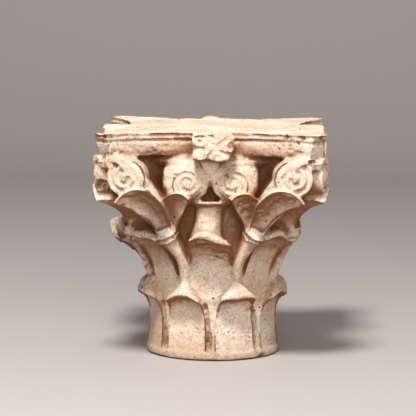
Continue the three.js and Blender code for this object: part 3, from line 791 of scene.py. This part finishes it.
def limestoneMaterial():
    # cream stone with a sandy grain and dark pores, brown painted shade in recesses and on undersides, pale
    # where it is open
    material = bpy.data.materials.new("wornLimestone")
    material.use_nodes = True
    tree = material.node_tree
    shader = tree.nodes["Principled BSDF"]
    shader.inputs["Roughness"].default_value = look["roughness"]
    shader.inputs["Specular IOR Level"].default_value = look["shine"]
    place = addNode(tree, "ShaderNodeTexCoord").outputs["Object"]
    paintedShade = addNode(tree, "ShaderNodeAttribute", attribute_name="paintedShade").outputs["Fac"]

    def cloud(scale, detail, roughness=0.6):
        return addNode(tree, "ShaderNodeTexNoise", {
            "Vector": place, "Scale": scale, "Detail": detail, "Roughness": roughness,
        }).outputs[0]

    def cells(scale):
        return addNode(tree, "ShaderNodeTexVoronoi", {"Vector": place, "Scale": scale}).outputs["Distance"]

    def ramp(value, low, high, start=0.0, end=1.0):
        return addNode(tree, "ShaderNodeMapRange", {
            "Value": value, "From Min": low, "From Max": high, "To Min": start, "To Max": end,
        }, interpolation_type="SMOOTHSTEP").outputs[0]

    def maths(operation, a, b):
        return addNode(tree, "ShaderNodeMath", {0: a, 1: b}, operation=operation).outputs[0]

    def blend(amount, under, name):
        return addNode(tree, "ShaderNodeMix", {0: amount, 6: under, 7: (*look[name], 1)},
                       data_type="RGBA").outputs[2]

    def bump(height, strength, distance, under=None, inward=False):
        inputs = {"Height": height, "Strength": strength, "Distance": distance}
        if under is not None:
            inputs["Normal"] = under
        return addNode(tree, "ShaderNodeBump", inputs, invert=inward).outputs[0]

    colour = blend(ramp(cloud(11, 5), 0.35, 0.65), (*look["cream"], 1), "pale")
    colour = blend(ramp(cloud(46, 6, 0.7), 0.5, 0.75, 0, 0.6), colour, "tan")
    colour = blend(ramp(cloud(210, 5, 0.9), 0.47, 0.66, 0, 1.0), colour, "tan")
    colour = blend(ramp(cloud(330, 4, 0.9), 0.52, 0.64, 0, 0.9), colour, "pale")
    # painted shade: brown where rays meet stone and on surfaces facing down
    colour = blend(ramp(paintedShade, 0.25, 0.8, 0, 0.94), colour, "shadeBrown")
    # darker tan towards the foot, strongest at the bottom
    height = addNode(tree, "ShaderNodeSeparateXYZ", {0: place}).outputs[2]
    colour = blend(ramp(height, 0.06, 0.0, 0, 0.55), colour, "tan")
    patches = ramp(cloud(13, 4), 0.56, 0.68, 0, 0.6)
    for spot, radius in look["spots"]:
        away = addNode(tree, "ShaderNodeVectorMath", {0: place, 1: Vector(spot) * millimetre},
                       operation="DISTANCE").outputs["Value"]
        near = ramp(away, radius * millimetre, 0.4 * radius * millimetre, 0, 0.85)
        patches = maths("MAXIMUM", patches, near)
    specks = ramp(cloud(160, 4, 0.8), 0.45, 0.62)
    colour = blend(maths("MULTIPLY", patches, specks), colour, "lichen")
    pores = maths("MULTIPLY", ramp(cells(240), 0.3, 0.18), ramp(cloud(27, 5, 0.7), 0.5, 0.62))
    holes = ramp(cells(36), 0.085, 0.05)
    colour = blend(pores, colour, "pit")
    colour = blend(holes, colour, "pit")
    feed(tree, shader.inputs["Base Color"], colour)

    surface = bump(cloud(90, 4, 0.7), 0.8, 0.006)
    surface = bump(cloud(240, 6, 0.8), 1.0, 0.0035, surface)
    surface = bump(pores, 0.8, 0.001, surface, inward=True)
    surface = bump(holes, 1.0, 0.002, surface, inward=True)
    feed(tree, shader.inputs["Normal"], surface)
    return material


# the block

def faceOut(body):
    # the same body with its faces turned outwards
    points, faces = body
    volume = 0.0
    for face in faces:
        a, rest = points[face[0]], points[face[1:]]
        volume += float((np.cross(rest[:-1], rest[1:]) @ a).sum())
    return points, faces if volume > 0 else [face[::-1] for face in faces]


def combined(name, block, bodies, operation):
    # the block with all the bodies joined to it or taken out of it
    parts = bpy.data.collections.new(name + "Parts")
    objects = [makeObject(name, [faceOut(body)]) for body in bodies]
    for obj in objects:
        bpy.context.scene.collection.objects.unlink(obj)
        parts.objects.link(obj)
    boolean = block.modifiers.new(name, "BOOLEAN")
    boolean.operation = operation
    boolean.operand_type = "COLLECTION"
    boolean.collection = parts
    boolean.solver = "MANIFOLD"
    block = bake(block, name)
    for obj in objects:
        bpy.data.objects.remove(obj)
    bpy.data.collections.remove(parts)
    return block


def carveStone(material):
    tree = turnedCopiesTree(material)

    def repeated(name, body, bothHands=False):
        obj = makeObject(name, [body])
        addModifier(obj, tree, {"Copies": 4, "Both hands": bothHands, "Material": material})
        return shapesOf(bake(obj, name), 8 if bothHands else 4)

    bodies = [bellBody(), abacusBody()]
    for k in range(lowerRow["count"]):
        angle = math.radians(lowerRow["firstAngle"] + 360 * k / lowerRow["count"])
        bodies.append(lowerLeaf(angle))
    for k, reach in enumerate(upperRow["reaches"]):
        angle = 2 * math.pi * k / len(upperRow["reaches"])
        bodies.append(upperLeaf(angle, reach, "corner" if k % 2 else "side"))
    print("leaves shaped")
    for body in (stalkBody(), calyxBody(cornerCalyx), calyxBody(innerCalyx), spiralBody(volute, 1),
                 band(volute["stem"]), spiralBody(helix, -1), scrollBody()):
        bodies += repeated("pairedPart", body, bothHands=True)
    for body in (cupBody(), band(knot["rows"]), rosetteBody(), cornerWeb()):
        bodies += repeated("sidePart", body)
    print("stalks, calyxes, spirals and rosettes shaped")
    block = makeObject("bell", [faceOut(bodies[0])])
    block = combined("roughBlock", block, bodies[1:], "UNION")
    print("joined:", len(block.data.polygons), "faces")
    lumps = [roughLump(at, size, seed) for seed, (at, size) in enumerate(breaks["places"].values())]
    block = combined("brokenBlock", block, lumps, "DIFFERENCE")
    print("broken places cut:", len(lumps))
    remesh = block.modifiers.new("oneSkin", "REMESH")
    remesh.mode = "VOXEL"
    remesh.voxel_size = stone["voxel"] * millimetre
    block = bake(block, "capitalStone")
    print("one skin:", len(block.data.polygons), "faces")
    return block


def withoutCrumbs(mesh):
    # keeps the largest connected skin only
    shape = bmesh.new()
    shape.from_mesh(mesh)
    left = set(shape.verts)
    skins = []
    while left:
        front = [left.pop()]
        skin = list(front)
        while front:
            near = {edge.other_vert(v) for v in front for edge in v.link_edges} & left
            left -= near
            skin += near
            front = list(near)
        skins.append(skin)
    skins.sort(key=len)
    bmesh.ops.delete(shape, geom=[v for skin in skins[:-1] for v in skin], context="VERTS")
    shape.to_mesh(mesh)
    shape.free()
    print("crumbs dropped:", len(skins) - 1)


def finishStone(block, material):
    smooth = block.modifiers.new("soften", "SMOOTH")
    smooth.factor = 0.5
    smooth.iterations = stone["smoothing"]
    addModifier(block, wearAndShadeTree(material), {"Seed": stone["seed"], "Material": material})
    thin = block.modifiers.new("thin", "DECIMATE")
    thin.ratio = min(1.0, stone["triangles"] / (2 * len(block.data.polygons)))
    thin.use_collapse_triangulate = True
    block = bake(block, "limestoneCapital")
    mesh = block.data
    withoutCrumbs(mesh)
    low, high = (np.array(corner) for corner in cadBox)
    points = np.zeros(len(mesh.vertices) * 3, np.float32)
    mesh.vertices.foreach_get("co", points)
    points = np.clip(points.reshape(-1, 3), low + stone["margin"], high - stone["margin"])
    mesh.vertices.foreach_set("co", points.ravel())
    mesh.materials.clear()
    mesh.materials.append(material)
    mesh.shade_smooth()
    mesh.update()
    print("stone:", len(mesh.polygons), "triangles")
    return block


# stage, light and camera

stage = {
    "colour": (0.4, 0.375, 0.36), "roughness": 0.7,
    "front": -6, "back": 3.2, "halfWidth": 8, "sweepRadius": 1.2, "height": 6,
}
lights = {
    "softKey": {
        "place": (-0.45, -2.1, 3.5), "target": (0, 0, 0.25), "size": 0.75, "power": 225,
        "colour": (1.0, 0.97, 0.95),
    },
    "topFill": {
        "place": (0.3, 0.3, 3.4), "target": (0, 0, 0.3), "size": 1.6, "power": 6,
        "colour": (1.0, 0.99, 0.99),
    },
    "frontFill": {
        "place": (0.6, -3.8, 1.7), "target": (0, 0, 0.25), "size": 2.4, "power": 80,
        "colour": (1.0, 0.95, 0.9),
    },
}
ambient = {"colour": (0.96, 0.88, 0.82), "strength": 0.3}
view = {
    "distance": 4.5, "height": 0.82, "azimuth": 2.0, "target": (-0.0108, 0.2834),
    "lens": 198.5, "sensor": 36, "roll": 0.4,
}


def plainMaterial(name, colour, roughness):
    material = bpy.data.materials.new(name)
    material.use_nodes = True
    shader = material.node_tree.nodes["Principled BSDF"]
    shader.inputs["Base Color"].default_value = (*colour, 1)
    shader.inputs["Roughness"].default_value = roughness
    return material


def addStage():
    # floor with a sweep up into the backdrop
    back, radius = stage["back"], stage["sweepRadius"]
    profile = [(stage["front"], 0), (back, 0)]
    profile += [(back + radius * math.sin(a), radius - radius * math.cos(a))
                for a in np.radians(np.arange(8, 91, 8))]
    profile.append((back + radius, stage["height"]))
    points = [(x, y, z) for y, z in profile for x in (-stage["halfWidth"], stage["halfWidth"])]
    faces = [(2 * i, 2 * i + 1, 2 * i + 3, 2 * i + 2) for i in range(len(profile) - 1)]
    mesh = bpy.data.meshes.new("sweep")
    mesh.from_pydata(points, [], faces)
    mesh.shade_smooth()
    mesh.materials.append(plainMaterial("paleFloor", stage["colour"], stage["roughness"]))
    sweep = bpy.data.objects.new("sweep", mesh)
    bpy.context.scene.collection.objects.link(sweep)


def addLight(name, settings):
    data = bpy.data.lights.new(name, "AREA")
    data.size = settings["size"]
    data.energy = settings["power"]
    data.color = settings["colour"]
    place = Vector(settings["place"])
    light = bpy.data.objects.new(name, data)
    light.location = place
    light.rotation_euler = (Vector(settings["target"]) - place).to_track_quat("-Z", "Y").to_euler()
    bpy.context.scene.collection.objects.link(light)


def addLights():
    for name, settings in lights.items():
        addLight(name, settings)
    world = bpy.data.worlds.new("ambient")
    world.use_nodes = True
    background = world.node_tree.nodes["Background"]
    background.inputs["Color"].default_value = (*ambient["colour"], 1)
    background.inputs["Strength"].default_value = ambient["strength"]
    bpy.context.scene.world = world
    bpy.context.scene.view_settings.view_transform = "Standard"   # keeps the stone's colours clear


def addCamera():
    azimuth = math.radians(view["azimuth"])
    right = Vector((math.cos(azimuth), math.sin(azimuth), 0))
    place = Vector((math.sin(azimuth), -math.cos(azimuth), 0)) * view["distance"]
    place.z = view["height"]
    target = right * view["target"][0] + Vector((0, 0, view["target"][1]))
    data = bpy.data.cameras.new("camera")
    data.lens = view["lens"]
    data.sensor_width = view["sensor"]
    camera = bpy.data.objects.new("camera", data)
    aim = (target - place).to_track_quat("-Z", "Y").to_matrix().to_4x4()
    roll = Matrix.Rotation(math.radians(view["roll"]), 4, "Z")
    camera.matrix_world = Matrix.Translation(place) @ aim @ roll
    bpy.context.scene.collection.objects.link(camera)
    bpy.context.scene.camera = camera


limestone = limestoneMaterial()
capital = finishStone(carveStone(limestone), limestone)
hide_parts("capital")
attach(capital, "root")
addStage()
addLights()
addCamera()
print("stage, lights and camera set")
